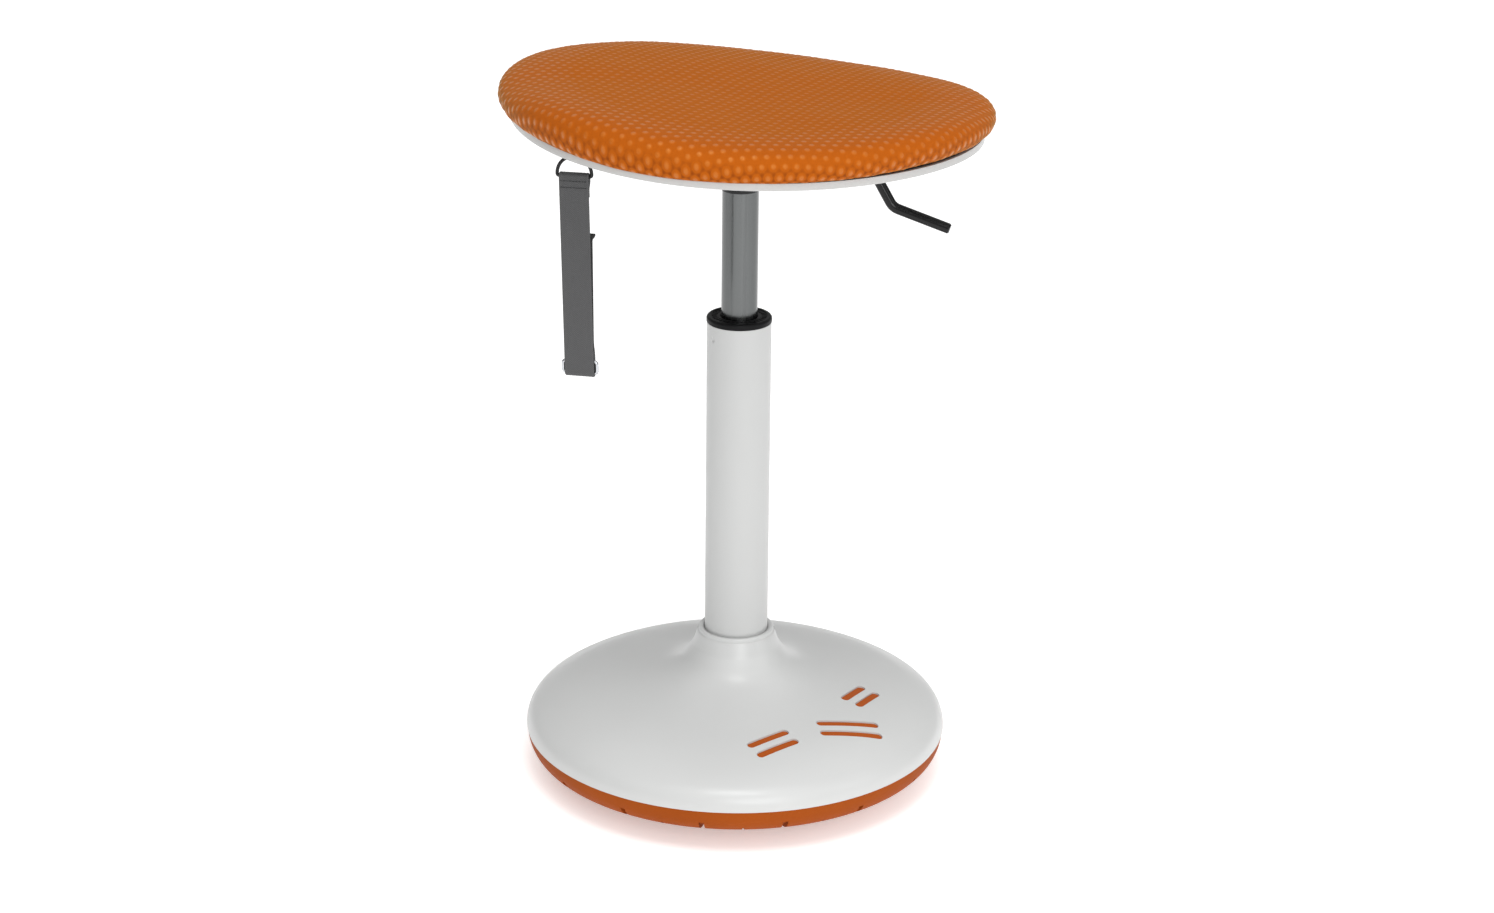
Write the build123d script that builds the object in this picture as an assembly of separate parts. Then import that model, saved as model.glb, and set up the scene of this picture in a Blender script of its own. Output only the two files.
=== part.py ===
from build123d import *
import os
from math import sin, cos, radians, sqrt, pi

# Active sitting stool with a rounded rocking foot and a gas-spring column.
# Frame: origin at the centre of the flat disc under the foot, +Z up along the column,
# -Y is the side that shows the strap and the release lever, +X is the low end of the seat.
# All sizes in millimetres.

# ---- driving dimensions -------------------------------------------------------------
SEAM_Z = 38.0            # height of the joint between rubber foot and cover
COVER_R = 167.8          # outer radius of the cover at the seam
FLAT_R = 45.0            # flat disc the stool stands on
ROCK_R = 682.0           # rocking radius of the foot
GROOVES = 16             # tread grooves
GROOVE_W = 4.2
GROOVE_D = 3.2
TUBE_R = 25.0            # stand tube
TUBE_WALL = 1.5
TUBE_TOP = 374.6
TUBE_BOTTOM = 18.0
TAPER_Z = 92.0
COLLAR_R = 25.3
COLLAR_H = 5.0
CYL_R = 14.0             # pressure tube
CYL_BOTTOM = 218.0
HUB_Z = 479.7
CYL_TOP = 506.0
ROD_R = 5.0
PISTON_Z = 337.0
SEAT_Z = 528.9           # lower edge of the seat shell above the floor, mid length
SEAT_R = 178.4           # shell outline
CUSHION_R = 186.1
SEAT_X = 4.5             # offset of the seat outline from the column
EGG = 0.12               # the outline narrows towards +X
WAVE1, WAVE2 = -9.67, 4.43   # fall and curl of the shell along X
CROWN, EDGE_H, CURL = 29.0, 11.6, 13.2
LIP_H = 6.5              # foot of the cushion above the shell's underside
SHELL_LIP = 5.4          # top of the shell's rim
SHELL_T = 3.0
BOARD_T = 5.7
COVER_T = 1.5
LEVER_AZ = -15.0
LEVER_R = 4.0
RING_X, RING_Y, RING_TOP, RING_BAR = -120.6, -100.0, 531.1, 516.5
RING_WIRE = 1.3
RING_YAW, RING_ROLL = -14.0, -1.2   # how the ring and the strap hang, in degrees
STRAP_W, STRAP_T = 22.5, 1.6
STRAP_BAR_Z = 366.9
TAIL_Z = 471.0

os.makedirs("parts", exist_ok=True)
BOT = (Align.CENTER, Align.CENTER, Align.MIN)


def cyl(r, z0, z1, x=0.0, y=0.0):
    return Pos(x, y, z0) * Cylinder(r, z1 - z0, align=BOT)


def ring(ro, ri, z0, z1, x=0.0, y=0.0):
    return cyl(ro, z0, z1, x, y) - cyl(ri, z0 - 1, z1 + 1, x, y)


def box(x0, x1, y0, y1, z0, z1):
    return Pos((x0 + x1) / 2, (y0 + y1) / 2, z0) * Box(x1 - x0, y1 - y0, z1 - z0, align=BOT)


def polar(n, r, a0=0.0):
    return [(r * cos(radians(a0 + 360 * i / n)), r * sin(radians(a0 + 360 * i / n))) for i in range(n)]


def rev_poly(pts):
    e = Polyline([(r, 0, z) for r, z in pts], close=True)
    return revolve(make_face(e), Axis.Z, 360)


def rev_edges(edges):
    return revolve(make_face(Curve() + edges), Axis.Z, 360)


def spl(pts, t0=None, t1=None):
    p = [(r, 0, z) for r, z in pts]
    if t0 is None:
        return Spline(p)
    return Spline(p, tangents=[(t0[0], 0, t0[1]), (t1[0], 0, t1[1])])


def ln(a, b):
    return Line((a[0], 0, a[1]), (b[0], 0, b[1]))


def save(node, shape, colour=None):
    shape.label = node
    export_step(shape, f"parts/{node}.step")
    print(node, "solids", len(shape.solids()), "volume", round(sum(s.volume for s in shape.solids())))


def group(items):
    return Compound(children=[s for it in items for s in it.solids()])


# ---- foot ---------------------------------------------------------------------------
def cap_z(r, r0=FLAT_R):
    return max(0.0, (r * r - r0 * r0) / (2 * ROCK_R))


foot_out = [(FLAT_R, 0)] + [(r, cap_z(r)) for r in (60, 75, 90, 105, 120, 135)] + [
    (149, 15.1), (157, 18.4), (161.7, 21.8), (165.2, 27.0), (166.9, 33.0), (167.3, SEAM_Z)]
foot_in = [(45, 9.0), (60, 10.2), (75, 11.7), (90, 13.5), (105, 15.6), (120, 18.0), (135, 20.9),
           (149, 24.3), (155.5, 27.3), (159.4, 31.6), (160.5, SEAM_Z)]


def bowl(dz=0.0, top=SEAM_Z):
    s = spl([(r, z + dz) for r, z in foot_in], (1, 0.066), (0.05, 1))
    return rev_edges([s, ln((160.5, SEAM_Z + dz), (0, SEAM_Z + dz)), ln((0, SEAM_Z + dz), (0, 9.0 + dz)),
                      ln((0, 9.0 + dz), (45, 9.0 + dz))])


s_out = spl(foot_out, (1, FLAT_R / ROCK_R), (0.04, 1))
foot_solid = rev_edges([s_out, ln((167.3, SEAM_Z), (0, SEAM_Z)), ln((0, SEAM_Z), (0, 0)), ln((0, 0), (FLAT_R, 0))])
layer_pts = [(58, 1.0 + GROOVE_D)] + [(r, cap_z(r) + GROOVE_D) for r in (75, 90, 105, 120, 135)] + [
    (148, 15.1 + GROOVE_D), (154.9, 20.5), (158.9, 23.5), (162.2, 27.8), (164.0, 33.0), (164.6, 36.5)]
s_lay = spl(layer_pts, (1, 0.08), (0.1, 1))
core = rev_edges([s_lay, ln((164.6, 36.5), (0, 36.5)), ln((0, 36.5), (0, 1.0 + GROOVE_D)), ln((0, 1.0 + GROOVE_D), (58, 1.0 + GROOVE_D))])
grooves = []
for k in range(GROOVES):
    a = -98.8 + k * 360 / GROOVES
    grooves.append(Rot(0, 0, a) * box(62, 175, -GROOVE_W / 2, GROOVE_W / 2, -5, 27.5))
    a2 = a - 180 / GROOVES
    grooves.append(Rot(0, 0, a2) * box(84, 175, -0.9, 0.9, -5, 22.0))
tread = foot_solid - core
cuts = [g & tread for g in grooves]
rocker_foot = foot_solid - bowl()
for c in cuts:
    rocker_foot = rocker_foot - c

# ---- structural frame inside the foot -------------------------------------------------
frame = cyl(157.0, 30.0, 36.0) + cyl(36.0, 9.4, 62.0)
cavity = bowl(0.25)
rib_blank = None
for k in range(12):
    b = Rot(0, 0, 15 + 30 * k) * box(34, 152, -1.5, 1.5, 8, 31)
    rib_blank = b if rib_blank is None else rib_blank + b
frame = frame + (rib_blank & cavity)
frame = frame - cyl(28.5, 0, 80)
ballast_pos = polar(3, 100, 30)
cover_pos = polar(6, 145, 0)
for x, y in ballast_pos:
    frame = frame - cyl(4.05, 20, 40, x, y)
for x, y in cover_pos:
    frame = frame - cyl(2.2, 20, 40, x, y)
ballast_ring = ring(138, 62, 36, 48)
for x, y in ballast_pos:
    ballast_ring = ballast_ring - cyl(4.2, 30, 50, x, y)
ballast_screws = group([cyl(4.0, 30.5, 48, x, y) + (cyl(7.0, 48, 53, x, y) - Pos(x, y, 50) * extrude(RegularPolygon(3.4, 6), 4)) for x, y in ballast_pos])

# ---- cover ------------------------------------------------------------------------------
Z = SEAM_Z
cover_out = [(167.8, Z), (167.3, Z + 4.2), (165.0, Z + 9.9), (161.0, Z + 14.3), (155.0, Z + 18.1), (145, Z + 23.2), (130, Z + 28.6),
             (112, Z + 32.8), (92, Z + 36.4), (74, Z + 40.2), (59, Z + 44.9), (48.5, Z + 50.6), (41, Z + 57.5), (36.2, Z + 64.5),
             (32.8, Z + 71.5), (30.6, Z + 77.5), (29.9, Z + 80.4)]
cover_in = [(164.6, Z), (164.2, Z + 3.6), (162.2, Z + 8.1), (158.6, Z + 12.1), (153.2, Z + 15.5), (143.8, Z + 20.3), (129.1, Z + 25.7),
            (111.4, Z + 29.8), (91.4, Z + 33.4), (73.0, Z + 37.3), (57.4, Z + 42.2), (46.4, Z + 48.2), (38.6, Z + 55.6), (33.6, Z + 63.0),
            (30.4, Z + 69.6)]
so = spl(cover_out, (-0.04, 1), (-0.18, 1))
si = spl(cover_in, (-0.04, 1), (-0.4, 1))
lip_top = Z + 81.8
cover = rev_edges([
    so,
    ThreePointArc((29.9, 0, Z + 80.4), (29.2, 0, Z + 81.5), (28.0, 0, lip_top)),
    ThreePointArc((28.0, 0, lip_top), (26.4, 0, Z + 81.3), (25.2, 0, Z + 80.1)),
    ln((25.2, Z + 80.1), (25.2, Z + 71.0)), ln((25.2, Z + 71.0), (30.4, Z + 69.6)),
    si, ln((164.6, Z), (167.8, Z))])
cover_full = rev_edges([so, ln((29.9, Z + 80.4), (0, Z + 80.4)), ln((0, Z + 80.4), (0, Z)), ln((0, Z), (167.8, Z))])
posts = None
for x, y in cover_pos:
    pz = cyl(5.0, 36.0, 66, x, y)
    posts = pz if posts is None else posts + pz
cover = cover + (posts & (Pos(0, 0, -0.8) * cover_full + cyl(160, 30, 40)))
for x, y in cover_pos:
    cover = cover - cyl(1.75, 30, 52, x, y)

# recessed windows, each a pair of parallel round-ended slots, with an inlay behind
WINDOWS = {"inlay_left": (29.1, -112.0, 35.0, 38.0), "inlay_centre": (89.0, -82.5, 12.0, 50.0), "inlay_right": (99.2, -31.0, 58.0, 32.0)}
SLOT_W, SLOT_PITCH = 7.0, 13.0
inlays = {}
for name, (wx, wy, ang, length) in WINDOWS.items():
    place = Pos(wx, wy, 0) * Rot(0, 0, ang)
    cutter = place * extrude(Pos(0, SLOT_PITCH / 2, 0) * SlotOverall(length, SLOT_W) + Pos(0, -SLOT_PITCH / 2, 0) * SlotOverall(length, SLOT_W), 120)
    bars = place * extrude(Pos(0, SLOT_PITCH / 2, 0) * SlotOverall(length - 0.4, SLOT_W - 0.4) + Pos(0, -SLOT_PITCH / 2, 0) * SlotOverall(length - 0.4, SLOT_W - 0.4), 120)
    pad = place * extrude(RectangleRounded(length + 6, SLOT_PITCH + SLOT_W + 6, 4), 120)
    cover = cover - cutter
    bars = bars & (Pos(0, 0, -1.3) * cover_full) - Pos(0, 0, -5.0) * cover_full
    pad = (pad & (Pos(0, 0, -3.9) * cover_full)) - Pos(0, 0, -5.7) * cover_full
    inlays[name] = bars + pad
cover_screws = group([cyl(1.7, 29.9, 50, x, y) + cyl(4.0, 27.6, 29.9, x, y) for x, y in cover_pos])

# ---- column -------------------------------------------------------------------------------
socket = rev_poly([(28.5, 14), (28.5, 104), (25.03, 104), (25.03, TAPER_Z + 0.5), (23.36, 14)])
tube = rev_poly([(5.3, TUBE_BOTTOM), (23.4, TUBE_BOTTOM), (TUBE_R, TAPER_Z), (TUBE_R, TUBE_TOP), (TUBE_R - TUBE_WALL, TUBE_TOP),
                 (TUBE_R - TUBE_WALL, TAPER_Z + 2), (21.9, TUBE_BOTTOM + 3.5), (5.3, TUBE_BOTTOM + 3.5)])
tube = tube - Pos(-0.8 * 27.2, -0.6 * 27.2, 364.0) * Sphere(3.0)
bush = (ring(TUBE_R - TUBE_WALL - 0.05, CYL_R + 0.05, TUBE_TOP - 70, TUBE_TOP + 1)
        + rev_edges([
            ln((CYL_R + 0.05, TUBE_TOP), (COLLAR_R - 0.9, TUBE_TOP)),
            ThreePointArc((COLLAR_R - 0.9, 0, TUBE_TOP), (COLLAR_R - 0.26, 0, TUBE_TOP + 0.26), (COLLAR_R, 0, TUBE_TOP + 0.9)),
            ln((COLLAR_R, TUBE_TOP + 0.9), (COLLAR_R, TUBE_TOP + COLLAR_H - 2.0)),
            ThreePointArc((COLLAR_R, 0, TUBE_TOP + COLLAR_H - 2.0), (COLLAR_R - 0.59, 0, TUBE_TOP + COLLAR_H - 0.59), (COLLAR_R - 2.0, 0, TUBE_TOP + COLLAR_H)),
            ln((COLLAR_R - 2.0, TUBE_TOP + COLLAR_H), (22.0, TUBE_TOP + COLLAR_H)), ln((22.0, TUBE_TOP + COLLAR_H), (21.6, TUBE_TOP + COLLAR_H - 0.8)),
            ln((21.6, TUBE_TOP + COLLAR_H - 0.8), (17.0, TUBE_TOP + COLLAR_H - 0.8)), ln((17.0, TUBE_TOP + COLLAR_H - 0.8), (16.6, TUBE_TOP + COLLAR_H - 0.3)),
            ln((16.6, TUBE_TOP + COLLAR_H - 0.3), (CYL_R + 0.9, TUBE_TOP + COLLAR_H - 0.3)), ln((CYL_R + 0.9, TUBE_TOP + COLLAR_H - 0.3), (CYL_R + 0.05, TUBE_TOP + COLLAR_H - 1.2)),
            ln((CYL_R + 0.05, TUBE_TOP + COLLAR_H - 1.2), (CYL_R + 0.05, TUBE_TOP))]))
for k in range(36):
    bush = bush + Rot(0, 0, 10 * k) * box(17.6, 21.0, -0.55, 0.55, TUBE_TOP + COLLAR_H - 0.9, TUBE_TOP + COLLAR_H - 0.3)
B = TUBE_BOTTOM + 3.5
low_washer = ring(18, 5.6, B, B + 2)
balls_pos = polar(12, 13)
balls = group([Pos(x, y, B + 3.5) * Sphere(1.5) for x, y in balls_pos])
cage = ring(16.5, 9.5, B + 2.7, B + 4.3)
for x, y in balls_pos:
    cage = cage - cyl(1.56, B + 2, B + 5, x, y)

# ---- rod ----------------------------------------------------------------------------------
up_washer = ring(18, 5.02, B + 5.03, B + 7.0)
rod = rev_poly([(0, 12), (ROD_R - 0.8, 12), (ROD_R, 12.8), (ROD_R, 16.0), (4.2, 16.0), (4.2, 17.3), (ROD_R, 17.3), (ROD_R, PISTON_Z + 12),
                (6.5, PISTON_Z + 12.05), (6.5, PISTON_Z + 14), (5.5, PISTON_Z + 15), (0, PISTON_Z + 15)])
piston = ring(CYL_R - 1.45, ROD_R + 0.02, PISTON_Z, PISTON_Z + 12)
clip = ring(8.6, 4.25, 16.08, 17.2) - box(0, 12, -1.6, 1.6, 10, 20)
bump = ring(12.0, ROD_R + 0.02, B + 7.0, B + 27)

# ---- pressure tube --------------------------------------------------------------------------
CI = CYL_R - 1.4
gas = rev_poly([(9, CYL_BOTTOM), (CYL_R - 0.6, CYL_BOTTOM), (CYL_R, CYL_BOTTOM + 1.2), (CYL_R, HUB_Z), (13.3, CYL_TOP), (3.05, CYL_TOP), (3.05, 494), (0, 494), (0, 486), (CI, 486),
                (CI, CYL_BOTTOM + 3), (9, CYL_BOTTOM + 3)])
seal = ring(CI - 0.02, ROD_R + 0.05, CYL_BOTTOM + 3, CYL_BOTTOM + 17)
pin = rev_poly([(0, 497.6), (3.0, 497.6), (3.0, 508.7), (2.2, 509.5), (0, 509.5)])

# ---- seat mechanism ----------------------------------------------------------------------------
hub = rev_poly([(14.0, HUB_Z), (14.9, HUB_Z), (15.2, HUB_Z + 3.0), (16.5, HUB_Z + 5.0), (16.5, 498.05), (18.2, 498.05), (18.2, 500.0), (16.5, 500.0), (16.5, CYL_TOP), (13.3, CYL_TOP)])
T = Rot(0, 0, LEVER_AZ)
pan = box(-32, 52, -20.5, 20.5, 496, 521)
pan = fillet(pan.edges().filter_by(Axis.Z), 5)
pan_in = box(-30, 50, -18.5, 18.5, 498, 530)
pan_in = fillet(pan_in.edges().filter_by(Axis.Z), 3)
flange = box(-76, 76, -60, 60, 518.5, 521)
flange = fillet(flange.edges().filter_by(Axis.Z), 12)
housing = (pan + flange) - pan_in - cyl(16.5, 490, 500) - box(48, 90, -6.5, 6.5, 500, 530)
bolt_local = [(62, 46), (-62, 46), (-62, -46), (62, -46)]
for x, y in bolt_local:
    housing = housing - cyl(3.3, 515, 525, x, y)
PIV_X, PIV_Z = 28.0, 505.5
pin_hole = Pos(PIV_X, 0, PIV_Z) * Rot(90, 0, 0) * Cylinder(2.52, 60)
housing = T * (housing - pin_hole)
pivot = T * (Pos(PIV_X, 0, PIV_Z) * Rot(90, 0, 0) * (Cylinder(2.5, 43.0) + Pos(0, 0, 22.25) * Cylinder(4.0, 1.5)))
BOLTS = [(x * cos(radians(LEVER_AZ)) - y * sin(radians(LEVER_AZ)), x * sin(radians(LEVER_AZ)) + y * cos(radians(LEVER_AZ))) for x, y in bolt_local]

# release lever: bar cranked down then out, with a nylon rocker that presses the pin
path = FilletPolyline((9, 0, 513.5), (98.1, 0, 509.4), (118.1, 0, 475.6), (162.0, 0, 462.3), radius=[9.0, 11.0])
bar = sweep(Plane(origin=path @ 0, z_dir=path % 0) * Circle(LEVER_R), path=path)
bar = chamfer(bar.faces().sort_by(Axis.X)[-1].edges(), 0.9)
rk = Polyline((-7, 0, 513.0), (-4, 0, 510.0), (4, 0, 510.0), (8, 0, 511.5), (17.5, 0, 509.2), (21.0, 0, 503.5), (24.0, 0, 500.6), (32.5, 0, 500.6), (38, 0, 503.5), (46, 0, 505.0), (46, 0, 519.0), (4, 0, 519.5), (-7, 0, 517.0), close=True)
rocker = extrude(make_face(rk), 7.0, both=True)
rocker = rocker - bar - Pos(PIV_X, 0, PIV_Z) * Rot(90, 0, 0) * Cylinder(2.55, 60)
bar, rocker = T * bar, T * rocker


# ---- seat ----------------------------------------------------------------------------------------
# the shell is bent along X on one large arc through its two ends and its middle
_x1, _z1 = -180.0, WAVE2 - WAVE1
_x2, _z2 = 180.0, WAVE2 + WAVE1
_det = 2 * (_x1 * _z2 - _x2 * _z1)
ARC_X = ((_x1 ** 2 + _z1 ** 2) * _z2 - (_x2 ** 2 + _z2 ** 2) * _z1) / _det
ARC_Z = ((_x2 ** 2 + _z2 ** 2) * _x1 - (_x1 ** 2 + _z1 ** 2) * _x2) / _det
ARC_R = sqrt(ARC_X ** 2 + ARC_Z ** 2)


def wave(x):
    return ARC_Z - sqrt(ARC_R ** 2 - (x - SEAT_X - ARC_X) ** 2)


def wave_curve(dz, y):
    xs = (-215.0, 5.0, 225.0)
    return ThreePointArc(*[(x, y, SEAT_Z + wave(x) + dz) for x in xs])


def slab(d0, d1):
    y = 230.0
    lo, hi = wave_curve(d0, y), wave_curve(d1, y)
    f = make_face(Curve() + [lo, hi, Line(lo @ 0, hi @ 0), Line(lo @ 1, hi @ 1)])
    return Solid.extrude(f.faces()[0], Vector(0, -2 * y, 0))


def prism(r, z0=470.0, z1=640.0):
    pts = []
    for i in range(40):
        a = 2 * pi * i / 40
        pts.append((r * cos(a) + SEAT_X, r * (1 - EGG * cos(a)) * sin(a), z0))
    f = make_face(Spline(pts, periodic=True))
    return Solid.extrude(f.faces()[0], Vector(0, 0, z1 - z0))


def crown(x, y):
    xl = x - SEAT_X
    k = 1 - EGG * xl / CUSHION_R
    rho = sqrt((xl / CUSHION_R) ** 2 + (y / (CUSHION_R * k)) ** 2)
    h = EDGE_H + (CROWN - EDGE_H) * (1 - 0.8 * rho ** 3.4)
    u = xl / 180.0
    return SEAT_Z + wave(x) + h + 0.85 * CURL * u * u


N = 31
GX, GY = 197.0, 213.0
grid = [[(SEAT_X - GX + 2 * GX * i / (N - 1), -GY + 2 * GY * j / (N - 1),
          crown(SEAT_X - GX + 2 * GX * i / (N - 1), -GY + 2 * GY * j / (N - 1))) for j in range(N)] for i in range(N)]
top_face = Face.make_surface_from_array_of_points(grid, tol=0.02, min_deg=3, max_deg=5)
below = Solid.extrude(top_face, Vector(0, 0, -110))

shell = (slab(0, SHELL_LIP) & prism(SEAT_R)) - (slab(SHELL_T, 30) & prism(SEAT_R - 3.0))
shell_bosses = None
for x, y in BOLTS:
    b = cyl(9.0, 521.0, SEAT_Z + wave(x) + 1.5, x, y)
    shell_bosses = b if shell_bosses is None else shell_bosses + b
shell = shell + shell_bosses
shell_holes, board_holes = [], []
tnuts, sscrews = [], []
for x, y in BOLTS:
    zt = SEAT_Z + wave(x) + SHELL_T + BOARD_T - 2.3
    shell_holes.append(cyl(3.3, 505, 548, x, y))
    board_holes.append(cyl(4.3, 505, zt + 3, x, y) + cyl(8.2, zt, 565, x, y))
    tnuts.append(cyl(8.0, zt + 0.05, zt + 1.5, x, y) + cyl(4.2, zt - 2.6, zt + 0.5, x, y) - cyl(3.05, 500, 560, x, y))
    sscrews.append(cyl(3.0, 518.4, zt + 1.4, x, y) + (cyl(5.2, 514.0, 518.45, x, y) - Pos(x, y, 513) * extrude(RegularPolygon(2.9, 6), 3.2)))
shell_pos = []
for i in range(8):
    a = 2 * pi * (i + 0.5) / 8
    shell_pos.append((150 * cos(a) + SEAT_X, 150 * (1 - EGG * cos(a)) * sin(a)))
shscrews = []
for x, y in shell_pos:
    z0 = SEAT_Z + wave(x)
    shell_holes.append(cyl(2.0, 505, 560, x, y))
    board_holes.append(cyl(1.75, 505, 565, x, y))
    shscrews.append(cyl(1.7, z0 - 0.6, z0 + 7.2, x, y) + cyl(3.6, z0 - 2.6, z0 - 0.6, x, y))
env_out = below & prism(CUSHION_R)
cover_blank = env_out & slab(LIP_H + 0.3, 90)
hollow = (Pos(0, 0, -COVER_T) * below) & prism(CUSHION_R - COVER_T) & slab(LIP_H + 1.6, 90)
mouth = prism(172.0) & slab(LIP_H - 2, LIP_H + 3)
seat_cover = cover_blank - hollow - mouth
foam = ((Pos(0, 0, -COVER_T - 0.3) * below) & prism(CUSHION_R - COVER_T - 0.3)) & slab(SHELL_T + BOARD_T + 0.5, 90)

# strap anchor under the shell, turned a little about the vertical
TURN = Pos(RING_X, RING_Y, 0) * Rot(0, 0, RING_YAW)
HANG = Pos(RING_X, RING_Y, RING_TOP) * Rot(0, 0, RING_YAW) * Rot(0, RING_ROLL, 0) * Pos(0, 0, -RING_TOP)
plate = (TURN * box(-15, 15, -7, 7, 520, 560)) & slab(-2.6, -0.05)
lug = (TURN * box(-3, 3, -3.6, 3.6, 528.4, 560)) & slab(-30, -1.0)
anchor = plate + lug - HANG * Pos(0, 0, RING_TOP) * Rot(0, 90, 0) * Cylinder(1.75, 20)
anscrews = []
for dx in (-10.5, 10.5):
    x, y = RING_X + dx * cos(radians(RING_YAW)), RING_Y + dx * sin(radians(RING_YAW))
    z0 = SEAT_Z + wave(x)
    anchor = anchor - cyl(1.65, 500, 560, x, y)
    shell_holes.append(cyl(1.65, 505, 560, x, y))
    board_holes.append(cyl(1.65, 505, 565, x, y))
    anscrews.append(cyl(1.55, z0 - 3.3, z0 + 7.0, x, y) + cyl(2.9, z0 - 4.9, z0 - 3.2, x, y))

for h in shell_holes:
    shell = shell - h
plank = slab(SHELL_T + 0.1, SHELL_T + 0.1 + BOARD_T)
for h in board_holes:
    plank = plank - h
board = plank & prism(168.0)

# ---- strap with its rings --------------------------------------------------------------------
hw, RB = 13.0, 1.6
d_ring = HANG * sweep(Plane(origin=(0, 0, RING_BAR), z_dir=(1, 0, 0)) * Circle(RING_WIRE), path=Wire([
    Line((0, 0, RING_BAR), (hw - RB, 0, RING_BAR)),
    ThreePointArc((hw - RB, 0, RING_BAR), (hw - RB + RB * sin(radians(45)), 0, RING_BAR + RB - RB * cos(radians(45))), (hw, 0, RING_BAR + RB)),
    ThreePointArc((hw, 0, RING_BAR + RB), (0, 0, RING_TOP), (-hw, 0, RING_BAR + RB)),
    ThreePointArc((-hw, 0, RING_BAR + RB), (-hw + RB - RB * sin(radians(45)), 0, RING_BAR + RB - RB * cos(radians(45))), (-hw + RB, 0, RING_BAR)),
    Line((-hw + RB, 0, RING_BAR), (0, 0, RING_BAR)),
]))
rw, rt = 12.9, STRAP_BAR_Z + 8.6
ring_path = (Plane(origin=(0, 0, (STRAP_BAR_Z + rt) / 2), x_dir=(1, 0, 0), z_dir=(0, -1, 0)) * RectangleRounded(2 * rw, rt - STRAP_BAR_Z, 1.8)).faces()[0].outer_wire()
strap_ring = HANG * sweep(Plane(origin=ring_path @ 0, z_dir=ring_path % 0) * Circle(RING_WIRE), path=ring_path)
cr = RING_WIRE + 0.1 + STRAP_T / 2
sb = -cr + STRAP_T + 0.03
line = Curve() + [
    Line((sb, TAIL_Z), (sb, 392.0)), Line((sb, 392.0), (cr, 378.5)), Line((cr, 378.5), (cr, STRAP_BAR_Z)),
    ThreePointArc((cr, STRAP_BAR_Z), (0, STRAP_BAR_Z - cr), (-cr, STRAP_BAR_Z)),
    Line((-cr, STRAP_BAR_Z), (-cr, RING_BAR)),
    ThreePointArc((-cr, RING_BAR), (0, RING_BAR + cr), (cr, RING_BAR)),
    Line((cr, RING_BAR), (cr, 513.2)), Line((cr, 513.2), (sb, 507.5)), Line((sb, 507.5), (sb, 501.5))]
strap2d = trace(line, STRAP_T)
strap = HANG * extrude(Plane.YZ * strap2d, STRAP_W / 2, both=True)

# ---- write -----------------------------------------------------------------------------------
nodes = {
    "rocker_foot": rocker_foot, "base_frame": frame, "ballast_ring": ballast_ring, "ballast_screws": ballast_screws,
    "base_cover": cover, "cover_screws": cover_screws, **inlays,
    "column_socket": socket, "outer_tube": tube, "guide_bush": bush,
    "lower_thrust_washer": low_washer, "bearing_balls": balls, "ball_cage": cage,
    "upper_thrust_washer": up_washer, "piston_rod": rod, "piston": piston, "rod_clip": clip, "bump_stop": bump,
    "gas_cylinder": gas, "rod_guide_seal": seal, "release_pin": pin,
    "taper_hub": hub, "mechanism_housing": housing, "pivot_pin": pivot, "lever_rocker": rocker, "lever_bar": bar,
    "seat_shell": shell, "seat_board": board, "t_nuts": group(tnuts), "seat_screws": group(sscrews), "shell_screws": group(shscrews),
    "seat_foam": foam, "seat_cover": seat_cover, "strap_anchor": anchor, "anchor_screws": group(anscrews),
    "d_ring": d_ring, "carry_strap": strap, "strap_ring": strap_ring,
}
for node, shape in nodes.items():
    save(node, shape)
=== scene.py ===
import bpy, bmesh, math
import numpy as np
from mathutils import Matrix, Vector, noise


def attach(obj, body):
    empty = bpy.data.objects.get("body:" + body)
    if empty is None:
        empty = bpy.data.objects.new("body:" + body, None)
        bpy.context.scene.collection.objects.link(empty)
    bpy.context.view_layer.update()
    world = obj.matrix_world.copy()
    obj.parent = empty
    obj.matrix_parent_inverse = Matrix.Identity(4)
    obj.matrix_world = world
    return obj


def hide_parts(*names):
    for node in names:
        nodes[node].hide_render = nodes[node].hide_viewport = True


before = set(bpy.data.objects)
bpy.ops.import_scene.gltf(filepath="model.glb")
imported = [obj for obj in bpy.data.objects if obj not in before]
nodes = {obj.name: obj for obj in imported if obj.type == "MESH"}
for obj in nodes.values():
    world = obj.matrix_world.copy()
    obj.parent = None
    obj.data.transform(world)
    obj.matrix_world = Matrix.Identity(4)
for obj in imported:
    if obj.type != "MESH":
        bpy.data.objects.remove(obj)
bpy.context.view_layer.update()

# ---------------------------------------------------------------- sizes shared with the CAD (metres)
SEAT_Z, SEAT_R, SEAT_X, EGG = 0.5289, 0.1784, 0.0045, 0.12
WAVE1, WAVE2 = -0.00967, 0.00443
LIP_H = 0.0054
RING_YAW, RING_ROLL = math.radians(-14.0), math.radians(-1.2)
RING_X, RING_Y, RING_TOP, RING_BAR, RING_WIRE = -0.1206, -0.1000, 0.5311, 0.5165, 0.0013
STRAP_W, STRAP_T, STRAP_BAR_Z, TAIL_Z = 0.0225, 0.0016, 0.3669, 0.4742


def wave(x):
    u = (x - SEAT_X) / 0.180
    return WAVE1 * u + WAVE2 * u * u


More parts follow.
